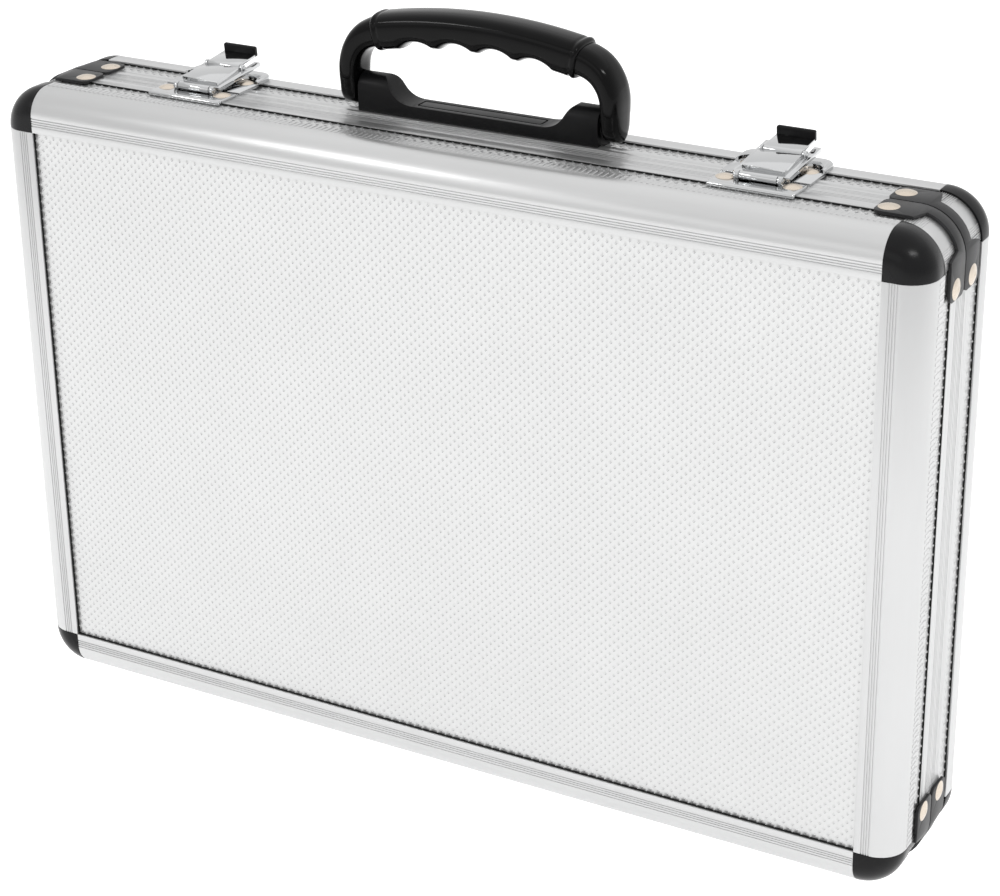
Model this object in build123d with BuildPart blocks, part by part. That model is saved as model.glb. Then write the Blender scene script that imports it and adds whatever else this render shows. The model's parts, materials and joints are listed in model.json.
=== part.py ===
"""Aluminium-framed hard case: two hinged shells, two draw latches and a folding handle.

Millimetres.  X runs along the width, the front shell (the lid) faces -Y and +Z is up.
The origin is at the centre of the footprint, on the floor under the rubber feet.
"""
import math
import os

from build123d import *

# ---------------------------------------------------------------- driving dimensions
CASE_WIDTH = 437.0
CASE_HEIGHT = 288.0
SHELL_DEPTH = 38.0
BORDER = 18.5            # width of the edge profile, and the radius of the corners
FOOT_HEIGHT = 5.0

EDGE_WALL = 1.5          # wall of the curved edge extrusion
EDGE_RADIUS = 12.4
FLANGE_END = 18.0        # depth at which the edge extrusion stops on the side of the case
EDGE_GROOVES = (3.3, 4.35, 5.4, 6.6)
GROOVE_WIDTH = 0.45
GROOVE_DEPTH = 0.35

BOARD = 3.0              # thickness of panels and side boards
BOARD_SINK = 1.5         # how far the side boards lie below the outer plane
PANEL_TUCK = 6.0         # how far the panel reaches under the edge extrusion
LINING_TUCK = 12.5
LINING = 10.0            # foam on the inside of each panel

LIP_START = 27.0         # depth at which the closing lip begins
LIP_LEG = 31.0           # depth at which its inner leg begins
LIP_SINK = 0.5           # lip surface below the outer plane
LIP_WALL = 1.0
LIP_GAP = 0.15           # half the gap between the closed shells
LIP_GROOVES = (33.4, 34.8, 36.2)

ARCH_SINK = 0.8
ARCH_WALL = 1.5

STRAP = 1.2              # thickness of corner straps and latch plates
STRAP_INNER = 17.8       # inner radius of a strap round the corner
EAR_FRONT = 22.6
EAR_LENGTH = 14.0
EAR_CORNER = 3.0
NECK_FRONT = 31.0
STRAP_REAR = 37.6

RIVET_SHANK = 1.5
RIVET_GRIP = 5.2         # length of a rivet below its head
RIVET_INSET = 28.0       # corner rivets, in from the outer plane
RIVET_Y = 9.0            # corner rivets, off the parting plane
CORNER_HEAD = (4.4, 1.0)     # radius and height of the rivet heads
LATCH_HEAD = (4.0, 1.0)
CATCH_HEAD = (3.9, 1.0)
HINGE_HEAD = (2.6, 0.8)

FOOT_RADIUS = 4.5
FOOT_X = 172.0
FOOT_Y = 12.0

HINGE_X = 120.0
HINGE_LENGTH = 50.0
HINGE_KNUCKLES = 5
HINGE_BARREL = 2.2
HINGE_PIN = 1.1
HINGE_LEAF = 1.0
HINGE_LEAF_REACH = 10.8
HINGE_RIVET_X = 17.0
HINGE_RIVET_Y = 6.5
SIDE_GAP = 0.15
RUN_FIT = 0.05           # radial clearance of a pin in the piece that turns on it

HANDLE_Y = 13.25
HANDLE_HALF = 57.5       # half length of the handle base
HANDLE_DEPTH = 12.5
BRIDGE = 5.2             # thickness of the base between its posts
POST_WIDTH = 12.0
POST_REACH = 27.0        # from the end of the base to where the post blends out
PIVOT_RISE = 9.75        # handle pivot above the lips
PIVOT_PIN = 2.5
PIN_INNER = 48.0
PIN_OUTER = 63.0
ARM_INNER = 58.0
ARM_OUTER = 67.0
ARM_DEPTH = 18.0
ARM_END = 8.0
GRIP_HALF = 48.5
GRIP_RISE = 39.7         # centre of the grip above the lips
GRIP_RADIUS = 238.0
GRIP_DEPTH = 19.0
GRIP_THICK = 16.0
CORE_DEPTH = 10.0
CORE_THICK = 7.0
FINGER_PITCH = 19.7
FINGER_DEPTH = 2.8

LATCH_X = 134.5
PLATE_HALF = 18.85
PLATE_FRONT = 12.5
PLATE_REAR = 0.3
LATCH_RIVET_X = 14.4
LATCH_RIVET_Y = 4.7
BARREL_Y = 4.5
BARREL_RISE = 2.7
BARREL_RADIUS = 1.7
BARREL_HALF = 10.3
KNUCKLE_HALF = 8.0
LATCH_PIN = 0.8

CATCH_HALF = 19.3
CATCH_FRONT = 1.5
CATCH_REAR = 29.0
CATCH_TOP = 2.8
PAN_FRONT = 15.5
CATCH_RIVET_X = 13.0
CATCH_POCKET = 5.0

HASP_TILT = 6.15
HASP_HALF = 12.0
HASP_FRONT = 2.1
HASP_REAR = 33.6
RAIL_INNER = 9.0
RAIL_TOP = 0.64
RAIL_THICK = 1.7
COVER_HALF = 9.25
COVER_FRONT = 4.2
COVER_REAR = 21.5
COVER_TOP = 2.45
COVER_WALL = 1.2
EAR_INNER = 8.6          # ears of the hasp that hold the pin of the release flap
EAR_OUTER = 9.9
FLAP_HALF = 8.4
FLAP_PIN_Y = 23.6
FLAP_PIN_Z = 1.3
FLAP_PIN = 0.7
FLAP_KNUCKLE = 1.7
FLAP_REAR = 35.6
FLAP_PLATE = 1.2
TAB_HALF = 8.4
TAB_THICK = 2.0
TAB_TOP = 4.6

# ---------------------------------------------------------------- derived places
OPEN_WIDTH = CASE_WIDTH - 2 * BORDER
OPEN_HEIGHT = CASE_HEIGHT - 2 * BORDER
CORNER_X = OPEN_WIDTH / 2
MID_Z = FOOT_HEIGHT + CASE_HEIGHT / 2
CORNER_Z = MID_Z + OPEN_HEIGHT / 2
LIP_U = BORDER - LIP_SINK            # outer face of the lips, out from the panel opening
BOARD_U = BORDER - BOARD_SINK        # outer face of the side boards
LIP_TOP = CORNER_Z + LIP_U
STRIP_TOP = CORNER_Z + BOARD_U
RIM_TOP = CORNER_Z + BORDER
LIP_BOTTOM = 2 * MID_Z - LIP_TOP
FLANGE_Y = SHELL_DEPTH - FLANGE_END
LIP_Y = SHELL_DEPTH - LIP_START
HINGE_Z = LIP_BOTTOM - 2.5
PIVOT_Z = LIP_TOP + PIVOT_RISE
MID_PLANE = Plane.XY.offset(MID_Z)
LOW = (Align.MIN, Align.MIN)
FORWARD = (Align.CENTER, Align.MIN)

UP = Vector(0, 0, 1)
DOWN = Vector(0, 0, -1)
RIGHT = Vector(1, 0, 0)
LEFT = Vector(-1, 0, 0)
REARWARD = Vector(0, 1, 0)
SIDES = {"top": UP, "bottom": DOWN, "left": LEFT, "right": RIGHT}
LATCHES = {"left": -LATCH_X, "right": LATCH_X}
PAIR = (-1, 1)

os.makedirs("parts", exist_ok=True)


# ---------------------------------------------------------------- shared helpers
def save(builder, name):
    """Label a finished piece and write it."""
    builder.part.label = name
    export_step(builder.part, f"parts/{name}.step")


def side_length(outward):
    """Length of the straight part of one side of the case."""
    return OPEN_WIDTH if abs(outward.Z) > 0.5 else OPEN_HEIGHT


def side_plane(outward):
    """Section plane at the start of a side: x outward, y to the rear, z along the side."""
    along = outward.cross(REARWARD)
    half_open = OPEN_HEIGHT / 2 if abs(outward.Z) > 0.5 else OPEN_WIDTH / 2
    centre = Vector(0, -SHELL_DEPTH, MID_Z)
    start = centre + outward * half_open - along * (side_length(outward) / 2)
    return Plane(origin=start, x_dir=outward, z_dir=along)


def corner_section(depth):
    """Plane across the top right corner, facing the front, at a depth behind the front face."""
    origin = (CORNER_X, depth - SHELL_DEPTH, CORNER_Z)
    return Plane(origin=origin, x_dir=(1, 0, 0), z_dir=(0, -1, 0))


def rivet_points(shell):
    """Seat, outward direction and head size of every rivet on one shell."""
    y_sign = -1 if shell == "front" else 1
    seat = LIP_U + STRAP
    points = []
    for x_sign in PAIR:
        for z_sign in PAIR:
            face_z = MID_Z + z_sign * (OPEN_HEIGHT / 2 + seat)
            ear_x = x_sign * (CASE_WIDTH / 2 - RIVET_INSET)
            ear_z = MID_Z + z_sign * (CASE_HEIGHT / 2 - RIVET_INSET)
            face_x = x_sign * (CORNER_X + seat)
            points.append(((ear_x, y_sign * RIVET_Y, face_z), UP * z_sign, CORNER_HEAD))
            points.append(((face_x, y_sign * RIVET_Y, ear_z), RIGHT * x_sign, CORNER_HEAD))
            hinge_x = x_sign * HINGE_X + z_sign * HINGE_RIVET_X
            hinge_z = LIP_BOTTOM - HINGE_LEAF
            points.append(((hinge_x, y_sign * HINGE_RIVET_Y, hinge_z), DOWN, HINGE_HEAD))
            top = LIP_TOP + STRAP
            if shell == "front":
                plate_x = x_sign * LATCH_X + z_sign * LATCH_RIVET_X
                points.append(((plate_x, -LATCH_RIVET_Y, top), UP, LATCH_HEAD))
            else:
                plate_x = x_sign * LATCH_X + z_sign * CATCH_RIVET_X
                points.append(((plate_x, PAN_FRONT, top), UP, CATCH_HEAD))
    return points


def rivet_shanks(shell):
    """Shanks of the rivets of one shell, which are also the holes they fill."""
    with BuildPart() as shanks:
        for point, outward, _ in rivet_points(shell):
            with Locations(Plane(origin=point, z_dir=outward)):
                Cylinder(RIVET_SHANK, RIVET_GRIP, align=(Align.CENTER, Align.CENTER, Align.MAX))
    return shanks.part


def save_both(front_piece, name, riveted=False):
    """Write a front shell piece and its mirror image for the rear shell."""
    for shell in ("front", "rear"):
        with BuildPart() as piece:
            if shell == "front":
                add(front_piece)
            else:
                mirror(front_piece, about=Plane.XZ)
            if riveted:
                add(rivet_shanks(shell), mode=Mode.SUBTRACT)
        save(piece, f"{shell}_{name}")


def at_all_corners(piece):
    """The top right piece and its images in the other three corners."""
    with BuildPart() as group:
        add(piece)
        mirror(group.part, about=Plane.YZ)
        mirror(group.part, about=MID_PLANE)
    return group.part


# ---------------------------------------------------------------- panels and linings
def panels():
    with BuildPart() as panel:
        with BuildSketch(Plane.XZ.offset(SHELL_DEPTH - EDGE_WALL)):
            with Locations((0, MID_Z)):
                RectangleRounded(OPEN_WIDTH + 2 * PANEL_TUCK, OPEN_HEIGHT + 2 * PANEL_TUCK, PANEL_TUCK)
        extrude(amount=-BOARD)
    save_both(panel.part, "panel")


def linings():
    tuck = 2 * LINING_TUCK
    with BuildPart() as lining:
        with BuildSketch(Plane.XZ.offset(SHELL_DEPTH - EDGE_WALL - BOARD)):
            with Locations((0, MID_Z)):
                RectangleRounded(OPEN_WIDTH + tuck, OPEN_HEIGHT + tuck, LINING_TUCK)
        extrude(amount=-LINING)
    save_both(lining.part, "lining")


# ---------------------------------------------------------------- edge extrusions
def edge_section():
    """Section of the edge: flat ledge, quarter round and side flange."""
    flat = BORDER - EDGE_RADIUS
    inner_u = BORDER - EDGE_WALL
    with BuildSketch() as section:
        with BuildLine():
            Line((0, EDGE_WALL), (0, 0))
            Line((0, 0), (flat, 0))
            CenterArc((flat, EDGE_RADIUS), EDGE_RADIUS, 270, 90)
            Line((BORDER, EDGE_RADIUS), (BORDER, FLANGE_END))
            Line((BORDER, FLANGE_END), (inner_u, FLANGE_END))
            Line((inner_u, FLANGE_END), (inner_u, EDGE_RADIUS))
            CenterArc((flat, EDGE_RADIUS), EDGE_RADIUS - EDGE_WALL, 270, 90)
            Line((flat, EDGE_WALL), (0, EDGE_WALL))
        make_face()
    return section.sketch


def edges():
    """Straight extrusions with four fine grooves on their front face."""
    section = edge_section()
    for side, outward in SIDES.items():
        with BuildPart() as edge:
            with BuildSketch(side_plane(outward)):
                add(section)
                with Locations(*[(u, 0) for u in EDGE_GROOVES]):
                    Rectangle(GROOVE_WIDTH, 2 * GROOVE_DEPTH, mode=Mode.SUBTRACT)
            extrude(amount=side_length(outward))
        save_both(edge.part, f"edge_{side}")


def corner_caps():
    """Moulded caps that turn the edge section round each corner."""
    section = edge_section()
    with BuildPart() as right:
        with BuildSketch(side_plane(UP)):
            add(section)
        revolve(axis=Axis((CORNER_X, 0, CORNER_Z), (0, 1, 0)), revolution_arc=90)
    with BuildPart() as left:
        mirror(right.part, about=Plane.YZ)
    for side, upper in (("right", right), ("left", left)):
        with BuildPart() as lower:
            mirror(upper.part, about=MID_PLANE)
        save_both(upper.part, f"cap_top_{side}")
        save_both(lower.part, f"cap_bottom_{side}")


# ---------------------------------------------------------------- side boards and lips
def wall_boards():
    start = EDGE_RADIUS + 0.2
    end = SHELL_DEPTH - LIP_GAP - LIP_WALL
    with BuildPart() as boards:
        for outward in SIDES.values():
            with BuildSketch(side_plane(outward)):
                with Locations((BOARD_U - BOARD, start)):
                    Rectangle(BOARD, end - start, align=LOW)
            extrude(amount=side_length(outward))
    save_both(boards.part, "wall_boards", riveted=True)


def lips():
    """Channel that caps the free edge of each side board and closes on the other shell."""
    end = SHELL_DEPTH - LIP_GAP
    inner_u = BOARD_U - BOARD - LIP_WALL
    for side, outward in SIDES.items():
        with BuildPart() as lip:
            with BuildSketch(side_plane(outward)):
                with Locations((BOARD_U, LIP_START)):
                    Rectangle(LIP_WALL, end - LIP_START, align=LOW)
                with Locations((inner_u, end - LIP_WALL)):
                    Rectangle(LIP_U - inner_u, LIP_WALL, align=LOW)
                with Locations((inner_u, LIP_LEG)):
                    Rectangle(LIP_WALL, end - LIP_LEG, align=LOW)
                with Locations(*[(LIP_U, v) for v in LIP_GROOVES]):
                    Rectangle(2 * GROOVE_DEPTH, GROOVE_WIDTH, mode=Mode.SUBTRACT)
            extrude(amount=side_length(outward))
        save_both(lip.part, f"lip_{side}", riveted=True)


# ---------------------------------------------------------------- corners
def corner_arches():
    """Ribbed quarter rings that join the sides behind the caps."""
    outer = BORDER - ARCH_SINK
    start = FLANGE_END + 0.05
    with BuildPart() as arch:
        with BuildSketch(corner_section(start)):
            Circle(outer)
            Circle(outer - ARCH_WALL, mode=Mode.SUBTRACT)
            Rectangle(BORDER, BORDER, align=LOW, mode=Mode.INTERSECT)
            for first_angle in (2.0, 76.0):
                with PolarLocations(outer, 4, start_angle=first_angle, angular_range=16):
                    Rectangle(2 * GROOVE_DEPTH, GROOVE_WIDTH, mode=Mode.SUBTRACT)
        extrude(amount=-(SHELL_DEPTH - LIP_GAP - start))
    save_both(at_all_corners(arch.part), "corner_arches")


def corner_brackets():
    """Straps that wrap each corner, with a riveted ear on both faces."""
    outer = LIP_U + STRAP
    neck = ((2.6, EAR_FRONT - 1), (5.2, NECK_FRONT), (BORDER + 2, NECK_FRONT), (BORDER + 2, EAR_FRONT - 1))
    halfway = BORDER / 2
    packer = EAR_LENGTH - EAR_CORNER
    with BuildPart() as bracket:
        with BuildSketch(corner_section(EAR_FRONT)):
            Circle(outer)
            Circle(STRAP_INNER, mode=Mode.SUBTRACT)
            Rectangle(BORDER + 2, BORDER + 2, align=LOW, mode=Mode.INTERSECT)
            with Locations((0, LIP_U)):
                Rectangle(EAR_LENGTH, STRAP, align=(Align.MAX, Align.MIN))
            with Locations((LIP_U, 0)):
                Rectangle(STRAP, EAR_LENGTH, align=(Align.MIN, Align.MAX))
        extrude(amount=-(STRAP_REAR - EAR_FRONT))
        with BuildSketch(Plane.XY.offset(CORNER_Z + halfway)):
            with BuildLine():
                Polyline(*[(CORNER_X + s, v - SHELL_DEPTH) for s, v in neck], close=True)
            make_face()
        extrude(amount=BORDER, mode=Mode.SUBTRACT)
        with BuildSketch(Plane.YZ.offset(CORNER_X + halfway)):
            with BuildLine():
                Polyline(*[(v - SHELL_DEPTH, CORNER_Z + s) for s, v in neck], close=True)
            make_face()
        extrude(amount=BORDER, mode=Mode.SUBTRACT)
        fillet(bracket.edges().filter_by(Axis.Z).sort_by(Axis.X)[:2], EAR_CORNER)
        fillet(bracket.edges().filter_by(Axis.X).sort_by(Axis.Z)[:2], EAR_CORNER)
        with BuildSketch(corner_section(EAR_FRONT + 0.9)):
            with Locations((0, BOARD_U)):
                Rectangle(packer, LIP_U - BOARD_U, align=(Align.MAX, Align.MIN))
            with Locations((BOARD_U, 0)):
                Rectangle(LIP_U - BOARD_U, packer, align=(Align.MIN, Align.MAX))
        extrude(amount=-(LIP_START - EAR_FRONT - 0.9))
    save_both(at_all_corners(bracket.part), "corner_brackets", riveted=True)


def rivets():
    """Domed rivets of each shell: corner straps, latch plates and hinge leaves."""
    for shell in ("front", "rear"):
        with BuildPart() as group:
            add(rivet_shanks(shell))
            for point, outward, (radius, height) in rivet_points(shell):
                ball = (radius ** 2 + height ** 2) / (2 * height)
                rim_angle = math.degrees(math.asin(1 - height / ball))
                with Locations(Plane(origin=point, z_dir=outward)):
                    Sphere(ball, arc_size1=rim_angle, align=(Align.CENTER, Align.CENTER, Align.MIN))
        save(group, f"{shell}_rivets")


# ---------------------------------------------------------------- feet and case hinges
def feet():
    for shell, y_sign in (("front", -1), ("rear", 1)):
        with BuildPart() as pads:
            for x_sign in PAIR:
                with Locations((x_sign * FOOT_X, y_sign * FOOT_Y, 0)):
                    Cylinder(FOOT_RADIUS, LIP_BOTTOM, align=(Align.CENTER, Align.CENTER, Align.MIN))
            chamfer(pads.faces().group_by(Axis.Z)[0].edges(), 0.8)
        save(pads, f"{shell}_feet")


def hinge_leaves(y_sign, segments, bore, shell):
    """Both leaves of one shell, with their own share of the barrel."""
    pitch = HINGE_LENGTH / HINGE_KNUCKLES
    leaf_z = LIP_BOTTOM - HINGE_LEAF
    setback = HINGE_BARREL + 0.4
    with BuildPart() as leaves:
        for x_sign in PAIR:
            start = x_sign * HINGE_X - HINGE_LENGTH / 2
            with BuildSketch(Plane.XY.offset(leaf_z)):
                with Locations((x_sign * HINGE_X, y_sign * (setback + HINGE_LEAF_REACH) / 2)):
                    Rectangle(HINGE_LENGTH, HINGE_LEAF_REACH - setback)
                with Locations(*[(start + (n + 0.5) * pitch, y_sign * (0.4 + setback) / 2) for n in segments]):
                    Rectangle(pitch - 2 * SIDE_GAP, setback - 0.4)
            extrude(amount=HINGE_LEAF)
            with Locations(*[(start + (n + 0.5) * pitch, 0, HINGE_Z) for n in segments]):
                Cylinder(HINGE_BARREL, pitch - 2 * SIDE_GAP, rotation=(0, 90, 0))
            with Locations((x_sign * HINGE_X, 0, HINGE_Z)):
                Cylinder(bore, HINGE_LENGTH + 2, rotation=(0, 90, 0), mode=Mode.SUBTRACT)
        add(rivet_shanks(shell), mode=Mode.SUBTRACT)
    return leaves


def case_hinges():
    """Two butt hinges under the case; the pins stay fast in the rear leaves."""
    save(hinge_leaves(-1, (1, 3), HINGE_PIN + RUN_FIT, "front"), "hinge_lid_leaves")
    save(hinge_leaves(1, (0, 2, 4), HINGE_PIN, "rear"), "hinge_base_leaves")
    with BuildPart() as pins:
        for x_sign in PAIR:
            with Locations((x_sign * HINGE_X, 0, HINGE_Z)):
                Cylinder(HINGE_PIN, HINGE_LENGTH, rotation=(0, 90, 0))
            ends = [(x_sign * HINGE_X + s * (HINGE_LENGTH / 2 + 0.25), 0, HINGE_Z) for s in PAIR]
            with Locations(*ends):
                Cylinder(HINGE_PIN + 0.5, 0.8, rotation=(0, 90, 0))
    save(pins, "hinge_pins")


# ---------------------------------------------------------------- handle
def handle_base():
    """Bridge with a rounded post at each end, seated on the rear lip and side strip."""
    top = PIVOT_Z + HANDLE_DEPTH / 2
    bridge_top = LIP_TOP + BRIDGE
    post_inner = HANDLE_HALF - POST_WIDTH
    blend_x = HANDLE_HALF - POST_REACH
    knee = (post_inner - 4.2, bridge_top + 5.2)
    with BuildPart() as base:
        with BuildSketch(Plane.XZ):
            with BuildLine():
                Polyline((0, STRIP_TOP), (HANDLE_HALF, STRIP_TOP), (HANDLE_HALF, top), (post_inner + 2.5, top))
                Spline((post_inner + 2.5, top), knee, (blend_x, bridge_top),
                       tangents=[(-1, 0), (-1, 0)])
                Polyline((blend_x, bridge_top), (0, bridge_top), (0, STRIP_TOP))
            make_face()
            mirror(about=Plane.YZ)
        extrude(amount=-2 * HANDLE_Y)
        with BuildSketch(Plane.YZ):
            with Locations((HANDLE_Y, PIVOT_Z)):
                Circle(HANDLE_DEPTH / 2)
                Rectangle(HANDLE_DEPTH, PIVOT_Z - STRIP_TOP, align=(Align.CENTER, Align.MAX))
        extrude(amount=HANDLE_HALF, both=True, mode=Mode.INTERSECT)
        with BuildSketch(Plane.XY.offset(STRIP_TOP)):
            Rectangle(2 * HANDLE_HALF, LIP_Y, align=FORWARD)
        extrude(amount=LIP_TOP - STRIP_TOP, mode=Mode.SUBTRACT)
        with BuildSketch(Plane.XY.offset(bridge_top)):
            with Locations((0, HANDLE_Y)):
                RectangleRounded(60, 7.5, 1.5)
                RectangleRounded(58.4, 5.9, 0.9, mode=Mode.SUBTRACT)
        extrude(amount=-0.5, mode=Mode.SUBTRACT)
        with Locations(*[(s * (PIN_INNER + HANDLE_HALF) / 2, HANDLE_Y, PIVOT_Z) for s in PAIR]):
            Cylinder(PIVOT_PIN, HANDLE_HALF - PIN_INNER, rotation=(0, 90, 0), mode=Mode.SUBTRACT)
    save(base, "handle_base")


def handle_pivot_pins():
    with BuildPart() as pins:
        with Locations(*[(s * (PIN_INNER + PIN_OUTER) / 2, HANDLE_Y, PIVOT_Z) for s in PAIR]):
            Cylinder(PIVOT_PIN, PIN_OUTER - PIN_INNER, rotation=(0, 90, 0))
    save(pins, "handle_pivot_pins")


def handle_bail():
    """Two arms joined by a curved core that runs inside the grip."""
    arc_z = LIP_TOP + GRIP_RISE - GRIP_RADIUS
    end_z = arc_z + math.sqrt(GRIP_RADIUS ** 2 - GRIP_HALF ** 2)
    outward = Vector(GRIP_HALF, end_z - arc_z).normalized()
    collar_top = Vector(GRIP_HALF, end_z) + outward * 6.6
    collar_bottom = Vector(GRIP_HALF, end_z) - outward * 6.6
    along = (outward.Y, -outward.X)
    bottom = PIVOT_Z - ARM_END
    with BuildPart() as bail:
        with BuildSketch(Plane.XZ.offset(-HANDLE_Y)):
            with BuildLine():
                Spline(collar_top, (62.4, end_z - 2.5), (ARM_OUTER, end_z - 16), tangents=[along, (0, -1)])
                Line((ARM_OUTER, end_z - 16), (ARM_OUTER, bottom))
                Line((ARM_OUTER, bottom), (ARM_INNER, bottom))
                Line((ARM_INNER, bottom), (ARM_INNER, end_z - 17))
                Spline((ARM_INNER, end_z - 17), collar_bottom, tangents=[(0, 1), (-along[0], -along[1])])
                Line(collar_bottom, collar_top)
            make_face()
            mirror(about=Plane.YZ)
        extrude(amount=ARM_DEPTH / 2, both=True)
        with BuildSketch(Plane.YZ):
            with Locations((HANDLE_Y, PIVOT_Z)):
                Circle(ARM_END)
            with Locations((HANDLE_Y, end_z)):
                Rectangle(ARM_DEPTH, 2 * ARM_END)
            make_hull()
        extrude(amount=ARM_OUTER, both=True, mode=Mode.INTERSECT)
        with BuildSketch(Plane.XZ.offset(-HANDLE_Y)):
            with Locations((0, arc_z)):
                Circle(GRIP_RADIUS + CORE_THICK / 2)
                Circle(GRIP_RADIUS - CORE_THICK / 2, mode=Mode.SUBTRACT)
            with Locations((0, end_z)):
                Rectangle(2 * GRIP_HALF + 0.5, 6 * CORE_THICK, mode=Mode.INTERSECT)
        extrude(amount=CORE_DEPTH / 2, both=True)
        with Locations(*[(s * (ARM_INNER + PIN_OUTER) / 2, HANDLE_Y, PIVOT_Z) for s in PAIR]):
            Cylinder(PIVOT_PIN + RUN_FIT, PIN_OUTER - ARM_INNER + 0.3, rotation=(0, 90, 0), mode=Mode.SUBTRACT)
    save(bail, "handle_bail")


def handle_grip():
    """Curved grip with four finger hollows underneath."""
    arc_centre = Vector(0, HANDLE_Y, LIP_TOP + GRIP_RISE - GRIP_RADIUS)
    half_turn = math.degrees(math.asin(GRIP_HALF / GRIP_RADIUS))
    lean = math.radians(half_turn)
    start = arc_centre + Vector(-math.sin(lean), 0, math.cos(lean)) * GRIP_RADIUS
    end_plane = Plane(origin=start, x_dir=(0, 1, 0), z_dir=(math.cos(lean), 0, math.sin(lean)))
    hollow = ((FINGER_PITCH / 2) ** 2 + FINGER_DEPTH ** 2) / (2 * FINGER_DEPTH)
    hollow_reach = GRIP_RADIUS - GRIP_THICK / 2 + FINGER_DEPTH - hollow
    with BuildPart() as grip:
        with BuildSketch(end_plane):
            RectangleRounded(GRIP_DEPTH, GRIP_THICK, 6)
            Rectangle(CORE_DEPTH, CORE_THICK, mode=Mode.SUBTRACT)
        revolve(axis=Axis(arc_centre, (0, 1, 0)), revolution_arc=2 * half_turn)
        for step in (-1.5, -0.5, 0.5, 1.5):
            turn = step * FINGER_PITCH / GRIP_RADIUS
            with Locations(arc_centre + Vector(math.sin(turn), 0, math.cos(turn)) * hollow_reach):
                Cylinder(hollow, 2 * GRIP_DEPTH, rotation=(90, 0, 0), mode=Mode.SUBTRACT)
    save(grip, "handle_grip")


# ---------------------------------------------------------------- latches
def hasp_plane(centre):
    """Tilted plane of a closed hasp: origin on its barrel, y towards the rear."""
    lean = math.radians(HASP_TILT)
    origin = (centre, -BARREL_Y, LIP_TOP + BARREL_RISE)
    return Plane(origin=origin, x_dir=(1, 0, 0), z_dir=(0, -math.sin(lean), math.cos(lean)))


def cross_plane(centre, y, z):
    """Plane facing +X with its origin at a point of the hasp plane."""
    tilted = hasp_plane(centre)
    point = tilted.origin + tilted.y_dir * y + tilted.z_dir * z
    return Plane(origin=point, x_dir=tilted.y_dir, z_dir=(1, 0, 0))


def latch_base_plate(side, centre):
    """Plate on the lid with the outer knuckles of the hasp hinge."""
    barrel = (centre, -BARREL_Y, LIP_TOP + BARREL_RISE)
    knuckle = BARREL_HALF - KNUCKLE_HALF - 2 * SIDE_GAP
    with BuildPart() as plate:
        with BuildSketch(Plane.XY.offset(LIP_TOP)):
            with Locations((centre, -PLATE_FRONT)):
                Rectangle(2 * PLATE_HALF, PLATE_FRONT - PLATE_REAR, align=FORWARD)
        extrude(amount=STRAP)
        fillet(plate.edges().filter_by(Axis.Z).sort_by(Axis.Y)[:2], 1.5)
        fillet(plate.faces().sort_by(Axis.Z)[-1].edges(), 0.5)
        with BuildSketch(Plane.XY.offset(LIP_TOP)):
            with Locations((centre, -PLATE_FRONT)):
                Rectangle(2 * PLATE_HALF - 3, PLATE_FRONT - LIP_Y - 0.05, align=FORWARD)
        extrude(amount=STRIP_TOP - LIP_TOP)
        with Locations(*[(centre + s * (BARREL_HALF - knuckle / 2), barrel[1], barrel[2]) for s in PAIR]):
            Cylinder(BARREL_RADIUS, knuckle, rotation=(0, 90, 0))
        with Locations(barrel):
            Cylinder(BARREL_RADIUS + 0.3, 2 * KNUCKLE_HALF + 2 * SIDE_GAP, rotation=(0, 90, 0), mode=Mode.SUBTRACT)
            Cylinder(LATCH_PIN, 2 * PLATE_HALF, rotation=(0, 90, 0), mode=Mode.SUBTRACT)
        add(rivet_shanks("front"), mode=Mode.SUBTRACT)
    save(plate, f"latch_{side}_base_plate")


def latch_catch_plate(side, centre):
    """Pressed tray on the rear shell with an open pocket round each of its two rivets."""
    spots = [(centre + s * CATCH_RIVET_X, PAN_FRONT) for s in PAIR]
    wide = 2 * CATCH_HALF
    with BuildPart() as catch:
        with BuildSketch(Plane.XY.offset(LIP_TOP)):
            with Locations((centre, CATCH_FRONT)):
                Rectangle(wide, CATCH_REAR - CATCH_FRONT, align=FORWARD)
        extrude(amount=CATCH_TOP)
        fillet(catch.edges().filter_by(Axis.Z).sort_by(Axis.Y)[-2:], 6)
        fillet(catch.faces().sort_by(Axis.Z)[-1].edges(), 0.8)
        with BuildSketch(Plane.XY.offset(LIP_TOP + STRAP)):
            with Locations((centre, CATCH_FRONT - 1)):
                Rectangle(wide + 2, PAN_FRONT - CATCH_FRONT + 1, align=FORWARD)
            with Locations(*spots):
                Circle(CATCH_POCKET)
        extrude(amount=CATCH_TOP, mode=Mode.SUBTRACT)
        with BuildSketch(Plane.XY.offset(LIP_TOP)):
            with Locations((centre, PAN_FRONT + STRAP)):
                Rectangle(wide - 2 * STRAP, CATCH_REAR - PAN_FRONT - 2 * STRAP, align=FORWARD)
            with Locations(*spots):
                Circle(CATCH_POCKET + STRAP, mode=Mode.SUBTRACT)
        extrude(amount=CATCH_TOP - STRAP, mode=Mode.SUBTRACT)
        with BuildSketch(Plane.XY.offset(LIP_TOP)):
            with Locations((centre, FLANGE_Y - 0.2)):
                Rectangle(wide, CATCH_REAR, align=FORWARD)
        extrude(amount=RIM_TOP - LIP_TOP + 0.05, mode=Mode.SUBTRACT)
        add(rivet_shanks("rear"), mode=Mode.SUBTRACT)
    save(catch, f"latch_{side}_catch_plate")


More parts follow.
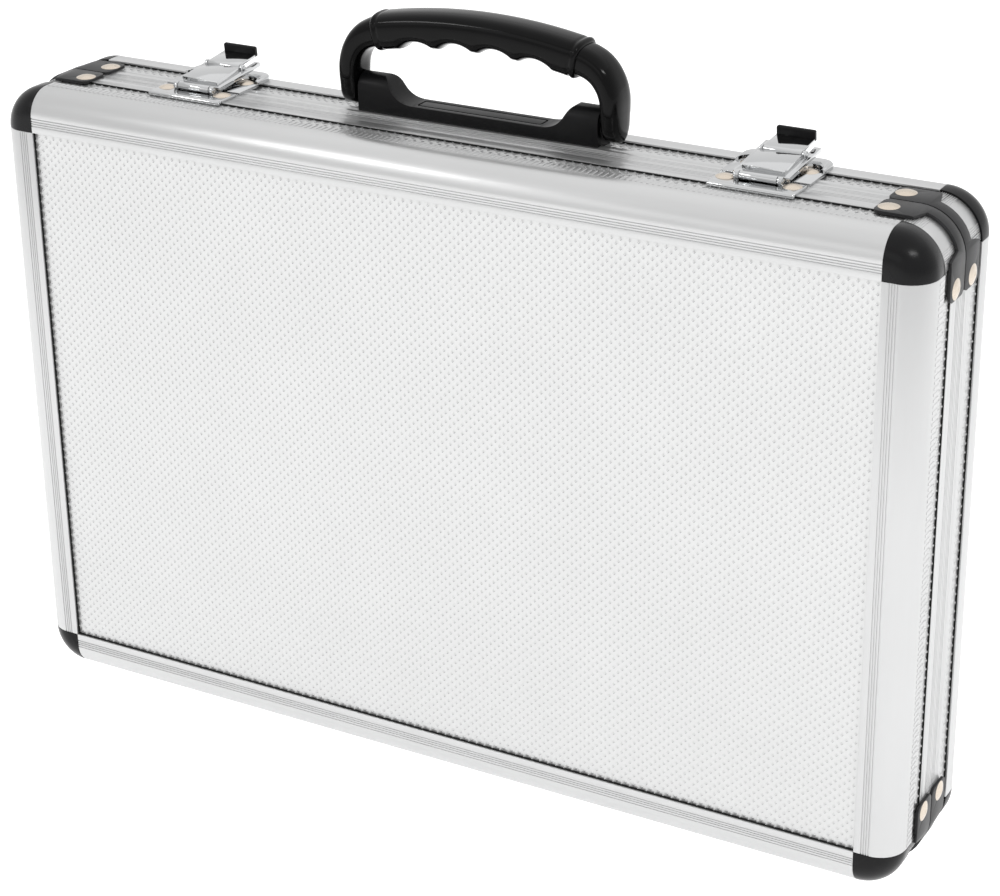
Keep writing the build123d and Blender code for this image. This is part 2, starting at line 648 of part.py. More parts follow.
def latch_hasp(side, centre):
    """Hinged frame: two rails, a front bar and a raised cover between them."""
    tilted = hasp_plane(centre)
    rail_bottom = RAIL_TOP - RAIL_THICK
    with BuildPart() as hasp:
        with BuildSketch(tilted.offset(rail_bottom)):
            with Locations(*[(s * (HASP_HALF + RAIL_INNER) / 2, HASP_FRONT) for s in PAIR]):
                Rectangle(HASP_HALF - RAIL_INNER, HASP_REAR - HASP_FRONT, align=FORWARD)
            with Locations((0, HASP_FRONT)):
                Rectangle(2 * HASP_HALF, COVER_FRONT + 1.4 - HASP_FRONT, align=FORWARD)
        extrude(amount=RAIL_THICK)
        with BuildSketch(tilted.offset(RAIL_TOP - 1)):
            with Locations((0, COVER_FRONT)):
                Rectangle(2 * COVER_HALF, COVER_REAR - COVER_FRONT, align=FORWARD)
        extrude(amount=COVER_TOP - RAIL_TOP + 1)
        with BuildSketch(tilted.offset(rail_bottom)):
            with Locations((0, COVER_FRONT + 1.4)):
                Rectangle(2 * (COVER_HALF - COVER_WALL), COVER_REAR, align=FORWARD)
        extrude(amount=COVER_TOP - COVER_WALL - rail_bottom, mode=Mode.SUBTRACT)
        with BuildSketch(cross_plane(centre, 0, 0)):
            Circle(BARREL_RADIUS)
            with Locations((0, rail_bottom + 0.4)):
                Rectangle(HASP_FRONT + 1, RAIL_THICK - 0.4, align=LOW)
            Circle(LATCH_PIN + RUN_FIT, mode=Mode.SUBTRACT)
        extrude(amount=KNUCKLE_HALF, both=True)
        for sign in PAIR:
            with BuildSketch(cross_plane(centre, FLAP_PIN_Y, FLAP_PIN_Z).offset(sign * EAR_INNER)):
                Circle(FLAP_KNUCKLE)
                with Locations((0, rail_bottom + 0.3 - FLAP_PIN_Z)):
                    Rectangle(2 * FLAP_KNUCKLE, FLAP_PIN_Z - rail_bottom - 0.3, align=FORWARD)
            extrude(amount=sign * (EAR_OUTER - EAR_INNER))
        with BuildSketch(cross_plane(centre, FLAP_PIN_Y, FLAP_PIN_Z)):
            Circle(FLAP_PIN)
        extrude(amount=HASP_HALF, both=True, mode=Mode.SUBTRACT)
    save(hasp, f"latch_{side}_hasp")


def latch_flap(side, centre):
    """Release flap that turns on a cross pin between the hasp rails."""
    reach = FLAP_REAR - FLAP_PIN_Y
    with BuildPart() as flap:
        with BuildSketch(cross_plane(centre, FLAP_PIN_Y, FLAP_PIN_Z)):
            Circle(FLAP_KNUCKLE)
            with Locations((0, FLAP_KNUCKLE - FLAP_PLATE)):
                Rectangle(reach, FLAP_PLATE, align=LOW)
            Circle(FLAP_PIN + RUN_FIT, mode=Mode.SUBTRACT)
        extrude(amount=FLAP_HALF, both=True)
    save(flap, f"latch_{side}_flap")
    with BuildPart() as tab:
        with BuildSketch(hasp_plane(centre).offset(FLAP_PIN_Z + FLAP_KNUCKLE - FLAP_PLATE)):
            with Locations((0, FLAP_REAR)):
                Rectangle(2 * TAB_HALF, TAB_THICK, align=FORWARD)
        extrude(amount=TAB_TOP)
        fillet(tab.faces().sort_by(Axis.Z)[-1].edges(), 0.8)
    save(tab, f"latch_{side}_tab")


def latch_pins(side, centre):
    with BuildPart() as hinge_pin:
        with BuildSketch(cross_plane(centre, 0, 0)):
            Circle(LATCH_PIN)
        extrude(amount=BARREL_HALF + 0.3, both=True)
    save(hinge_pin, f"latch_{side}_hinge_pin")
    with BuildPart() as flap_pin:
        with BuildSketch(cross_plane(centre, FLAP_PIN_Y, FLAP_PIN_Z)):
            Circle(FLAP_PIN)
        extrude(amount=EAR_OUTER + 0.6, both=True)
    save(flap_pin, f"latch_{side}_flap_pin")


# ---------------------------------------------------------------- build everything
panels()
linings()
edges()
corner_caps()
wall_boards()
lips()
corner_arches()
corner_brackets()
feet()
case_hinges()
handle_base()
handle_pivot_pins()
handle_bail()
handle_grip()
for latch_side, latch_centre in LATCHES.items():
    latch_base_plate(latch_side, latch_centre)
    latch_catch_plate(latch_side, latch_centre)
    latch_hasp(latch_side, latch_centre)
    latch_flap(latch_side, latch_centre)
    latch_pins(latch_side, latch_centre)
rivets()
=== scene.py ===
"""Looks of the aluminium-framed hard case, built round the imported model, in metres."""

import json
import math

import bmesh
import bpy
import numpy as np
from mathutils import Matrix, Vector

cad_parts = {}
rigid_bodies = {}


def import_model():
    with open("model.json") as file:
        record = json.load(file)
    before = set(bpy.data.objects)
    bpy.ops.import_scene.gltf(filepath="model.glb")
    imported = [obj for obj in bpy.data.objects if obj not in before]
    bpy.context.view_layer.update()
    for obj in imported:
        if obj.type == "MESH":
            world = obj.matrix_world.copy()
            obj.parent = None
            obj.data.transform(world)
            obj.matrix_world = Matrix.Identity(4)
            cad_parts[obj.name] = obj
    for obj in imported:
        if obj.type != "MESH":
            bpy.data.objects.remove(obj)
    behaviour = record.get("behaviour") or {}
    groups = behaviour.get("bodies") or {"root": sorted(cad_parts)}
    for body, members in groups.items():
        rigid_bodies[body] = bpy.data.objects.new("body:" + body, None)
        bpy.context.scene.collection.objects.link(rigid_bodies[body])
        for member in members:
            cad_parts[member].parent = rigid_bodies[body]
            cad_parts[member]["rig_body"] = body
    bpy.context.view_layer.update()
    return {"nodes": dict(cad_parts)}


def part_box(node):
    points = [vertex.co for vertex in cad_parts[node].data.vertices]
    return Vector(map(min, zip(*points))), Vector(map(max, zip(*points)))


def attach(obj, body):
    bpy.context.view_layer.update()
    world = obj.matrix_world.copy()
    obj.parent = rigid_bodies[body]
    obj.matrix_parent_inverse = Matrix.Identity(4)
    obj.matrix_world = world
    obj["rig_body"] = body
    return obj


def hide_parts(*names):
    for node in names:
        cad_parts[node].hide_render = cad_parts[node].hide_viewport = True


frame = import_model()
nodes = frame["nodes"]
MM = 0.001


# ------------------------------------------------------------------ places taken from the CAD nodes
def span(node, axis):
    low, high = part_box(node)
    return low[axis], high[axis]


PANEL_X = span("front_edge_top", 0)[1]                     # half width of the panel opening
PANEL_LOW = span("front_edge_left", 2)[0]
PANEL_HIGH = span("front_edge_left", 2)[1]
FACE_Y = span("rear_edge_top", 1)[1]                       # front and rear faces of the case
FLANGE_Y = span("rear_edge_top", 1)[0]
LIP_Y = span("rear_lip_top", 1)[1]
STRIP_TOP = span("front_wall_boards", 2)[1]
STRIP_LOW = span("front_wall_boards", 2)[0]
STRIP_X = span("front_wall_boards", 0)[1]
PANEL_Y = span("rear_panel", 1)[1]
PANEL_MID = (PANEL_LOW + PANEL_HIGH) / 2
RIM_TOP = span("front_edge_top", 2)[1]                     # outer sides of the edge extrusions
RIM_X = span("front_edge_right", 0)[1]
LIP_TOP = span("front_lip_top", 2)[1]
FLANGE_RISE = RIM_TOP - STRIP_TOP                          # steps up from the side boards
LIP_RISE = LIP_TOP - STRIP_TOP
SHELLS = (("front", "lid", -1), ("rear", "rear_shell", 1))  # shell, its body, way its face looks
CORNERS = ("top_left", "top_right", "bottom_left", "bottom_right")


# ------------------------------------------------------------------ node material helpers
class Nodes:
    """Short ways to add and join shader nodes."""

    def __init__(self, name):
        self.mat = bpy.data.materials.new(name)
        self.mat.use_nodes = True
        self.tree = self.mat.node_tree
        self.bsdf = self.tree.nodes["Principled BSDF"]
        self.coords = self.tree.nodes.new("ShaderNodeTexCoord").outputs["Object"]

    def link(self, a, b):
        self.tree.links.new(a, b)

    def noise(self, scale, detail, rough=0.55):
        """Noise of a frequency per metre: one number, or one for each of X, Y and Z."""
        each = scale if hasattr(scale, "__len__") else (scale,) * 3
        mapping = self.tree.nodes.new("ShaderNodeMapping")
        mapping.inputs["Scale"].default_value = each
        self.link(self.coords, mapping.inputs["Vector"])
        tex = self.tree.nodes.new("ShaderNodeTexNoise")
        tex.inputs["Scale"].default_value = 1.0
        tex.inputs["Detail"].default_value = detail
        tex.inputs["Roughness"].default_value = rough
        self.link(mapping.outputs["Vector"], tex.inputs["Vector"])
        return tex.outputs["Fac"]

    def voronoi(self, scale):
        tex = self.tree.nodes.new("ShaderNodeTexVoronoi")
        tex.inputs["Scale"].default_value = scale
        self.link(self.coords, tex.inputs["Vector"])
        return tex.outputs["Distance"]

    def remap(self, value, low, high, to_low, to_high):
        node = self.tree.nodes.new("ShaderNodeMapRange")
        node.inputs["From Min"].default_value = low
        node.inputs["From Max"].default_value = high
        node.inputs["To Min"].default_value = to_low
        node.inputs["To Max"].default_value = to_high
        self.link(value, node.inputs["Value"])
        return node.outputs["Result"]

    def colours(self, value, stops):
        ramp = self.tree.nodes.new("ShaderNodeValToRGB")
        elements = ramp.color_ramp.elements
        while len(elements) < len(stops):
            elements.new(0.5)
        for element, (place, colour) in zip(elements, stops):
            element.position = place
            element.color = (*colour, 1.0)
        self.link(value, ramp.inputs["Fac"])
        return ramp.outputs["Color"]

    def bump(self, height, strength, distance):
        node = self.tree.nodes.new("ShaderNodeBump")
        node.inputs["Strength"].default_value = strength
        node.inputs["Distance"].default_value = distance
        self.link(height, node.inputs["Height"])
        return node.outputs["Normal"]

    def set(self, **values):
        """Sets or joins shader sockets. An underscore in a name stands for a space."""
        for name, value in values.items():
            socket = self.bsdf.inputs[name.replace("_", " ")]
            if hasattr(value, "links"):
                self.link(value, socket)
            else:
                socket.default_value = value


def shade(colour, factor):
    return tuple(min(1.0, c * factor) for c in colour)


GRAIN_DEPTH = 0.0002                                       # bump depths, in metres
CELL_DEPTH = 0.0006


def metal(name, colour, rough, spread, scale, bump=0.03, metallic=1.0):
    """Metal with fine grain: scale is the grain's frequency per metre along X, Y and Z."""
    n = Nodes(name)
    grain = n.noise(scale, 3.0, 0.6)
    cloud = n.noise(22.0, 3.0, 0.5)
    n.set(Base_Color=n.colours(cloud, [(0.3, shade(colour, 0.988)), (0.7, shade(colour, 1.01))]))
    n.set(Roughness=n.remap(grain, 0.25, 0.75, rough - spread, rough + spread), Metallic=metallic)
    n.set(Normal=n.bump(grain, bump, GRAIN_DEPTH))
    return n.mat


def plastic(name, colour, rough, spread, grain_scale, bump, specular):
    """Moulded black with fine grain and slow changes of tone and gloss."""
    n = Nodes(name)
    grain = n.noise(grain_scale, 4.0, 0.6)
    wear = n.noise(60.0, 5.0, 0.6)
    n.set(Base_Color=n.colours(wear, [(0.35, shade(colour, 0.8)), (0.72, shade(colour, 1.35))]))
    n.set(Roughness=n.remap(wear, 0.3, 0.75, rough - spread, rough + spread))
    n.set(Coat_Weight=0.0, Coat_Roughness=0.08, Specular_IOR_Level=specular)
    n.set(Normal=n.bump(grain, bump, GRAIN_DEPTH))
    return n.mat


def foam(name, colour, scale, strength):
    """Dull open-celled foam: scale is the number of cells per metre."""
    n = Nodes(name)
    cells = n.voronoi(scale)
    tone = n.noise(35.0, 4.0, 0.6)
    n.set(Base_Color=n.colours(tone, [(0.3, shade(colour, 0.8)), (0.7, shade(colour, 1.25))]))
    n.set(Roughness=0.95, Sheen_Weight=0.25, Sheen_Roughness=0.5, Specular_IOR_Level=0.2)
    n.set(Normal=n.bump(cells, strength, CELL_DEPTH))
    return n.mat


ALONG_X = (25.0, 2600.0, 2600.0)
ALONG_Z = (2600.0, 2600.0, 25.0)
EVERY_WAY = (1500.0, 1500.0, 1500.0)
EVEN = (400.0, 400.0, 400.0)
CAST = (700.0, 700.0, 700.0)
EDGE_COLOUR = (0.555, 0.557, 0.558)
SHEET_COLOUR = (0.605, 0.607, 0.606)
# painted shade: darker colour for the lower flanks of the embossed points
PAINTED_SHADE_COLOUR = (0.34, 0.345, 0.35)
CHROME_COLOUR = (0.52, 0.525, 0.53)
NICKEL_COLOUR = (0.60, 0.53, 0.45)
STEEL_COLOUR = (0.58, 0.59, 0.60)
CAP_COLOUR = (0.005, 0.005, 0.0055)
GLOSS_COLOUR = (0.0015, 0.0015, 0.0016)
MATTE_COLOUR = (0.004, 0.004, 0.0044)
STRAP_COLOUR = (0.020, 0.020, 0.021)
# near black for the thin strips that paint the shadow in the gaps at the steps
PAINTED_SHADOW_GAP_COLOUR = (0.008, 0.008, 0.008)
RUBBER_COLOUR = (0.03, 0.03, 0.031)
FOAM_COLOUR = (0.055, 0.056, 0.06)
MATS = {
    "edge_x": metal("edge_aluminium_x", EDGE_COLOUR, 0.34, 0.05, ALONG_X, metallic=0.85),
    "edge_z": metal("edge_aluminium_z", EDGE_COLOUR, 0.34, 0.05, ALONG_Z, metallic=0.85),
    "sheet": metal("embossed_aluminium", SHEET_COLOUR, 0.36, 0.05, EVERY_WAY, metallic=0.75),
    # darker copy of the sheet: painted shade on the lower flanks of the panels' points
    "sheet_painted_shade": metal("embossed_painted_shade", PAINTED_SHADE_COLOUR, 0.45, 0.06, EVERY_WAY, metallic=0.6),
    "strip": metal("embossed_strip", SHEET_COLOUR, 0.36, 0.05, EVERY_WAY, metallic=0.85),
    # darker copy of the strip: painted shade on the lower flanks of the strips' points
    "strip_painted_shade": metal("strip_painted_shade_flanks", PAINTED_SHADE_COLOUR, 0.40, 0.06, EVERY_WAY, metallic=0.7),
    "chrome": metal("latch_chrome", CHROME_COLOUR, 0.07, 0.03, EVEN, bump=0.05),
    "nickel": metal("rivet_nickel", NICKEL_COLOUR, 0.30, 0.06, CAST, bump=0.06),
    "steel": metal("hinge_steel", STEEL_COLOUR, 0.32, 0.08, ALONG_X, bump=0.06),
    "cap": plastic("corner_cap_black", CAP_COLOUR, 0.25, 0.04, 900.0, 0.04, 0.17),
    "gloss": plastic("handle_black", GLOSS_COLOUR, 0.14, 0.04, 500.0, 0.02, 0.13),
    "matte": plastic("handle_base_black", MATTE_COLOUR, 0.38, 0.06, 1400.0, 0.08, 0.14),
    "strap": plastic("corner_strap_black", STRAP_COLOUR, 0.42, 0.06, 1400.0, 0.08, 0.25),
    # painted shadow in the gaps where the sheets go under the extrusions
    "gasket": plastic("painted_shadow_gap_black", PAINTED_SHADOW_GAP_COLOUR, 0.6, 0.08, 1400.0, 0.1, 0.15),
    "rubber": plastic("rubber_feet", RUBBER_COLOUR, 0.7, 0.08, 1800.0, 0.25, 0.3),
    "foam": foam("lining_foam", FOAM_COLOUR, 900.0, 0.6),
}


# ------------------------------------------------------------------ mesh helpers
def show(name, thing):
    """A new object in the scene for a mesh, a light or a camera."""
    obj = bpy.data.objects.new(name, thing)
    bpy.context.scene.collection.objects.link(obj)
    return obj


def piece(name, mesh, body, materials, angle):
    """A visible piece on a body. Faces that meet at more than angle degrees have a sharp edge."""
    for polygon in mesh.polygons:
        polygon.use_smooth = True
    mesh.set_sharp_from_angle(angle=math.radians(angle))
    kept = [polygon.material_index for polygon in mesh.polygons]
    mesh.materials.clear()
    materials = (materials,) if isinstance(materials, str) else materials
    for material in materials:
        mesh.materials.append(MATS[material])
    if len(materials) > 1:
        mesh.polygons.foreach_set("material_index", kept)
    obj = show(name, mesh)
    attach(obj, body)
    return obj


def mesh_of(name, verts, faces, close=False):
    """A mesh with outward normals. close fills the open border with one flat face."""
    mesh = bpy.data.meshes.new(name)
    mesh.from_pydata([tuple(v) for v in verts], [], [tuple(f) for f in faces])
    bm = bmesh.new()
    bm.from_mesh(mesh)
    bmesh.ops.remove_doubles(bm, verts=bm.verts, dist=1e-7)
    if close:
        bmesh.ops.holes_fill(bm, edges=[e for e in bm.edges if e.is_boundary], sides=0)
    bmesh.ops.recalc_face_normals(bm, faces=bm.faces)
    bm.to_mesh(mesh)
    bm.free()
    return mesh


def quad_faces(rows, cols):
    """Faces of a grid whose points are listed row by row."""
    return [(r * cols + c, r * cols + c + 1, (r + 1) * cols + c + 1, (r + 1) * cols + c)
            for r in range(rows - 1) for c in range(cols - 1)]


EASED_ANGLE = 34.0                                         # degrees: sharper edges are eased


def soften(node, width, material, segments=2):
    """A copy of a CAD piece with its sharp edges eased by width mm, shown in its place."""
    source = nodes[node]
    mesh = source.data.copy()
    bm = bmesh.new()
    bm.from_mesh(mesh)
    bmesh.ops.remove_doubles(bm, verts=bm.verts, dist=2e-6)
    bmesh.ops.dissolve_limit(bm, angle_limit=math.radians(0.8), verts=bm.verts, edges=bm.edges)
    bm.to_mesh(mesh)
    bm.free()
    obj = show(node + ".model", mesh)
    bevel = obj.modifiers.new("ease", "BEVEL")
    bevel.width = width * MM
    bevel.segments = segments
    bevel.limit_method = "ANGLE"
    bevel.angle_limit = math.radians(EASED_ANGLE)
    bevel.use_clamp_overlap = True
    bevel.miter_outer = "MITER_ARC"
    depsgraph = bpy.context.evaluated_depsgraph_get()
    eased = bpy.data.meshes.new_from_object(obj.evaluated_get(depsgraph))
    bpy.data.objects.remove(obj)
    made = piece(node + ".model", eased, source["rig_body"], material, 30.0)
    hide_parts(node)


def cad(node, material):
    """A CAD piece that keeps its own mesh and gets a finished material."""
    obj = nodes[node]
    obj.data.materials.clear()
    obj.data.materials.append(MATS[material])


# ------------------------------------------------------------------ embossed sheet
EMBOSS_PITCH = (4.0 * MM, 4.05 * MM)
POINT_FOOT = 0.42                                          # shares of a tile's half diagonal
POINT_SHOULDER = 0.2
SHOULDER_DROP = 0.25                                       # share of the rise
PAINTED_SHADE_FLANKS = (6, 7)                                       # places in the list of a tile's faces: the lower left and lower right flanks of each point, coloured darker as painted shade
POINT_GRID = 1e-7                                          # points this close are one
SMALLEST_FACE = 1e-12


def embossed(name, width, height, rise, thick):
    """Closed slab, local X by Y, pressed with staggered points whose tops lie at Z = 0."""
    px, py = EMBOSS_PITCH
    cols = int(width / px) + 3
    rows = int(height / py) + 3
    i, j = np.meshgrid(np.arange(-(cols // 2) - 1, cols // 2 + 2),
                       np.arange(-(rows // 2) - 1, rows // 2 + 2))
    whole = np.stack([i.ravel() * px, j.ravel() * py], 1)
    centres = np.concatenate([whole, whole + (px / 2, py / 2)])
    near_x = np.abs(centres[:, 0]) < width / 2 + px / 2
    near_y = np.abs(centres[:, 1]) < height / 2 + py / 2
    centres = centres[near_x & near_y]
    corners = np.array([(px / 2, 0.0), (0.0, py / 2), (-px / 2, 0.0), (0.0, -py / 2)])
    flat = np.concatenate([corners, corners * POINT_FOOT, corners * POINT_SHOULDER, [(0.0, 0.0)]])
    level = np.array([-rise] * 8 + [-SHOULDER_DROP * rise] * 4 + [0.0])
    xy = centres[:, None, :] + flat[None]
    z = np.broadcast_to(level, xy.shape[:2]).copy()
    limit = np.array([width / 2, height / 2])
    outside = (np.abs(xy) >= limit - 1e-9).any(axis=2)
    z[outside] = -rise
    xy = np.clip(xy, -limit, limit)
    points = np.concatenate([xy, z[..., None]], 2).reshape(-1, 3)
    whole_steps = np.round(points / POINT_GRID).astype(np.int64)
    keys, index = np.unique(whole_steps, axis=0, return_inverse=True)
    index = index.reshape(len(centres), len(flat))
    flats = [(k, (k + 1) % 4, 4 + (k + 1) % 4, 4 + k) for k in range(4)]
    slopes = [(4 + k, 4 + (k + 1) % 4, 8 + (k + 1) % 4, 8 + k) for k in range(4)]
    tips = [(8 + k, 8 + (k + 1) % 4, 12) for k in range(4)]
    faces, painted_shade_faces = [], []
    for tile in index:
        for which, shape in enumerate(flats + slopes + tips):
            outline = [int(tile[k]) for k in shape]
            outline = [v for n, v in enumerate(outline) if v != outline[n - 1]]
            if len(set(outline)) > 2 and len(set(outline)) == len(outline):
                faces.append(outline)
                # lower flanks take the second material, painted shade
                painted_shade_faces.append(1 if which in PAINTED_SHADE_FLANKS else 0)
    verts = keys.astype(float) * POINT_GRID
    mesh = bpy.data.meshes.new(name)
    mesh.from_pydata(verts.tolist(), [], faces)
    mesh.polygons.foreach_set("material_index", painted_shade_faces)
    bm = bmesh.new()
    bm.from_mesh(mesh)
    thin = [f for f in bm.faces if f.calc_area() < SMALLEST_FACE]
    bmesh.ops.delete(bm, geom=thin, context="FACES_ONLY")
    border = [e for e in bm.edges if e.is_boundary]
    made = bmesh.ops.extrude_edge_only(bm, edges=border)["geom"]
    for v in made:
        if isinstance(v, bmesh.types.BMVert):
            v.co.z = -thick
    bmesh.ops.holes_fill(bm, edges=[e for e in bm.edges if e.is_boundary], sides=0)
    loose = [v for v in bm.verts if not v.link_faces]
    bmesh.ops.delete(bm, geom=loose, context="VERTS")
    bmesh.ops.recalc_face_normals(bm, faces=bm.faces)
    bm.to_mesh(mesh)
    bm.free()
    return mesh


def placed(mesh, origin, x_dir, out):
    """Turns a slab made in its own axes so that its face looks along out at origin."""
    x = Vector(x_dir)
    z = Vector(out)
    y = z.cross(x)
    turn = Matrix((x, y, z)).transposed().to_4x4()
    mesh.transform(Matrix.Translation(Vector(origin)) @ turn)
    return mesh


def panels():
    """The embossed front and back, tucked in under their edge extrusions."""
    rise, thick, tuck, sink = 0.45 * MM, 3.0 * MM, 5.0 * MM, 0.05 * MM
    width = 2 * (PANEL_X + tuck)
    height = PANEL_HIGH - PANEL_LOW + 2 * tuck
    for shell, body, side in SHELLS:
        name = f"{shell}_panel.model"
        mesh = embossed(name, width, height, rise, thick)
        placed(mesh, (0, side * (PANEL_Y - sink), PANEL_MID), (-side, 0, 0), (0, side, 0))
        # the second material paints shade on the lower flanks of the points
        panel = piece(name, mesh, body, ("sheet", "sheet_painted_shade"), 60.0)
        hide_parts(f"{shell}_panel")


def strips():
    """Embossed strips between the flange and the lip, on the four sides of each shell."""
    wide = 8.96 * MM
    board = 9.0 * MM                                       # bare width of the side boards
    across = (FLANGE_Y + (FLANGE_Y - board)) / 2
    rise, lift, below = 0.4 * MM, 0.46 * MM, 0.3 * MM
    long_x, long_z = 2 * PANEL_X, PANEL_HIGH - PANEL_LOW
    for shell, body, side in SHELLS:
        spots = {
            "top": ((0, side * across, STRIP_TOP + lift), (1, 0, 0), (0, 0, 1), long_x),
            "bottom": ((0, side * across, STRIP_LOW - lift), (1, 0, 0), (0, 0, -1), long_x),
            "right": ((STRIP_X + lift, side * across, PANEL_MID), (0, 0, 1), (1, 0, 0), long_z),
            "left": ((-STRIP_X - lift, side * across, PANEL_MID), (0, 0, 1), (-1, 0, 0), long_z),
        }
        for where, (origin, along, out, length) in spots.items():
            name = f"{shell}_strip_{where}"
            mesh = placed(embossed(name, length, wide, rise, rise + below), origin, along, out)
            # the second material paints shade on the lower flanks of the points
            piece(name, mesh, body, ("strip", "strip_painted_shade"), 60.0)


def bar(low, high):
    """Corners and faces of a straight bead, from its lowest to its highest corner."""
    (x0, y0, z0), (x1, y1, z1) = low, high
    verts = [(x, y, z) for x in (x0, x1) for y in (y0, y1) for z in (z0, z1)]
    faces = [(0, 1, 3, 2), (4, 6, 7, 5), (0, 4, 5, 1), (2, 3, 7, 6), (0, 2, 6, 4), (1, 5, 7, 3)]
    return verts, faces


def painted_shadow_gaps():
    """Thin black strips against the steps where the sheets disappear under the extrusions: painted
    shadow of the gaps there.
    """
    thin, tuck = 0.28 * MM, 0.1 * MM
    below, above = 0.4 * MM, 0.6 * MM                      # reach past the panel's face
    under, tallest = 0.12 * MM, 0.75 * MM                  # below the step's top, above the board
    for shell, body, side in SHELLS:
        verts, faces = [], []

        def add(low, high):
            points, quads = bar(low, high)
            faces.extend([tuple(k + len(verts) for k in q) for q in quads])
            verts.extend(points)

        y_a, y_b = sorted((side * (PANEL_Y - below), side * (PANEL_Y + above)))
        for z_edge, inward in ((PANEL_LOW, 1), (PANEL_HIGH, -1)):
            z_a, z_b = sorted((z_edge - inward * tuck, z_edge + inward * thin))
            add((-PANEL_X, y_a, z_a), (PANEL_X, y_b, z_b))
        for x_edge, inward in ((-PANEL_X, 1), (PANEL_X, -1)):
            x_a, x_b = sorted((x_edge - inward * tuck, x_edge + inward * thin))
            add((x_a, y_a, PANEL_LOW), (x_b, y_b, PANEL_HIGH))
        for start, way, rise in ((FLANGE_Y, -1, FLANGE_RISE), (LIP_Y, 1, LIP_RISE)):
            a, b = sorted((side * (start + way * thin), side * (start - way * tuck)))
            top = min(rise - under, tallest)
            add((-PANEL_X, a, STRIP_TOP - tuck), (PANEL_X, b, STRIP_TOP + top))
            add((-PANEL_X, a, STRIP_LOW - top), (PANEL_X, b, STRIP_LOW + tuck))
            add((STRIP_X - tuck, a, PANEL_LOW), (STRIP_X + top, b, PANEL_HIGH))
            add((-STRIP_X - top, a, PANEL_LOW), (-STRIP_X + tuck, b, PANEL_HIGH))
        name = f"{shell}_gaskets"
        # black strips that paint the shadow in the gaps at the steps
        piece(name, mesh_of(name, verts, faces), body, "gasket", 30.0)


def flange_ribs():
    """Fine cross ribs rolled into the side flange of the front extrusions."""
    pitch, half, rise, sink = 2.5 * MM, 0.75 * MM, 0.14 * MM, 0.05 * MM
    crest = 0.7 * half
    first, last = 1.2 * MM, 1.0 * MM                       # clear of the ends
    y_low, y_high = -FLANGE_Y - 5.3 * MM, -FLANGE_Y - 0.35 * MM
    section = ((-half, -sink), (half, -sink), (crest, rise), (-crest, rise))
    verts, faces = [], []

    def rib(point):
        base = len(verts)
        for y in (y_low, y_high):
            verts.extend([point(along, y, out) for along, out in section])
        for k in range(4):
            faces.append((base + k, base + (k + 1) % 4, base + 4 + (k + 1) % 4, base + 4 + k))
        faces.append(tuple(base + k for k in range(4)))
        faces.append(tuple(base + 7 - k for k in range(4)))

    for way in (-1, 1):
        for x in np.arange(-PANEL_X + first, PANEL_X - last, pitch):
            rib(lambda s, y, out, x=x: (x + s, y, PANEL_MID + way * (RIM_TOP - PANEL_MID + out)))
        for z in np.arange(PANEL_LOW + first, PANEL_HIGH - last, pitch):
            rib(lambda s, y, out, z=z: (way * (RIM_X + out), y, z + s))
    mesh = mesh_of("front_flange_ribs", verts, faces)
    piece("front_flange_ribs", mesh, "lid", "edge_x", 20.0)


def arch_ribs():
    """Fine ribs along both ends of every corner arch."""
    outer = RIM_X - PANEL_X - 0.8 * MM                     # the arches' outer radius
    half, rise, sink = 0.2 * MM, 0.22 * MM, 0.1 * MM
    per_end, first, step = 8, 4.0, 2.9                     # angles in degrees
    section = ((-sink, -half), (rise, -0.5 * half), (rise, 0.5 * half), (-sink, half))
    y_near, y_far = 7.6 * MM, FLANGE_Y - 0.25 * MM
    for shell, body, side in SHELLS:
        verts, faces = [], []
        for x_way in (-1, 1):
            for z_way, corner_z in ((-1, PANEL_LOW), (1, PANEL_HIGH)):
                for k in range(2 * per_end):
                    angle = math.radians(first + step * (k % per_end))
                    angle = math.pi / 2 - angle if k >= per_end else angle
                    radial = (math.cos(angle), math.sin(angle))
                    tangent = (-radial[1], radial[0])
                    base = len(verts)
                    for y in (y_near, y_far):
                        for r, t in section:
                            x = radial[0] * (outer + r) + tangent[0] * t
                            z = radial[1] * (outer + r) + tangent[1] * t
                            verts.append((x_way * (PANEL_X + x), side * y, corner_z + z_way * z))
                    for a, b in ((0, 1), (1, 2), (2, 3), (3, 0)):
                        faces.append((base + a, base + b, base + 4 + b, base + 4 + a))
                    faces.append((base, base + 3, base + 2, base + 1))
                    faces.append((base + 4, base + 5, base + 6, base + 7))
        name = f"{shell}_arch_ribs"
        piece(name, mesh_of(name, verts, faces), body, "edge_x", 20.0)


def latch_rolls():
    """The rolled front edge of each latch base plate, a bar with rounded ends."""
    radius, forward, lift, count = 1.15 * MM, 0.3 * MM, 0.2 * MM, 20
    rounding = ((1.0, 0.08), (0.93, 0.37), (0.7, 0.71), (0.38, 0.92))  # shares of the radius
    t = 2 * np.pi * np.arange(count) / count
    for side in ("left", "right"):
        low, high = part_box(f"latch_{side}_base_plate")
        half = (high[0] - low[0]) / 2
        mid = (high[0] + low[0]) / 2
        stations = [(-half + radius * (1 - a), b) for a, b in rounding]
        stations += [(-half + radius, 1.0), (half - radius, 1.0)]
        stations += [(half - radius * (1 - a), b) for a, b in reversed(rounding)]
        rings = []
        for x, scale in stations:
            points = np.zeros((count, 3))
            points[:, 0] = mid + x
            points[:, 1] = low[1] - forward + np.cos(t) * radius * scale
            points[:, 2] = LIP_TOP + lift + np.sin(t) * radius * scale
            rings.append(points)
        name = f"latch_{side}_roll"
        piece(name, loft(name, rings), "lid", "chrome", 50.0)


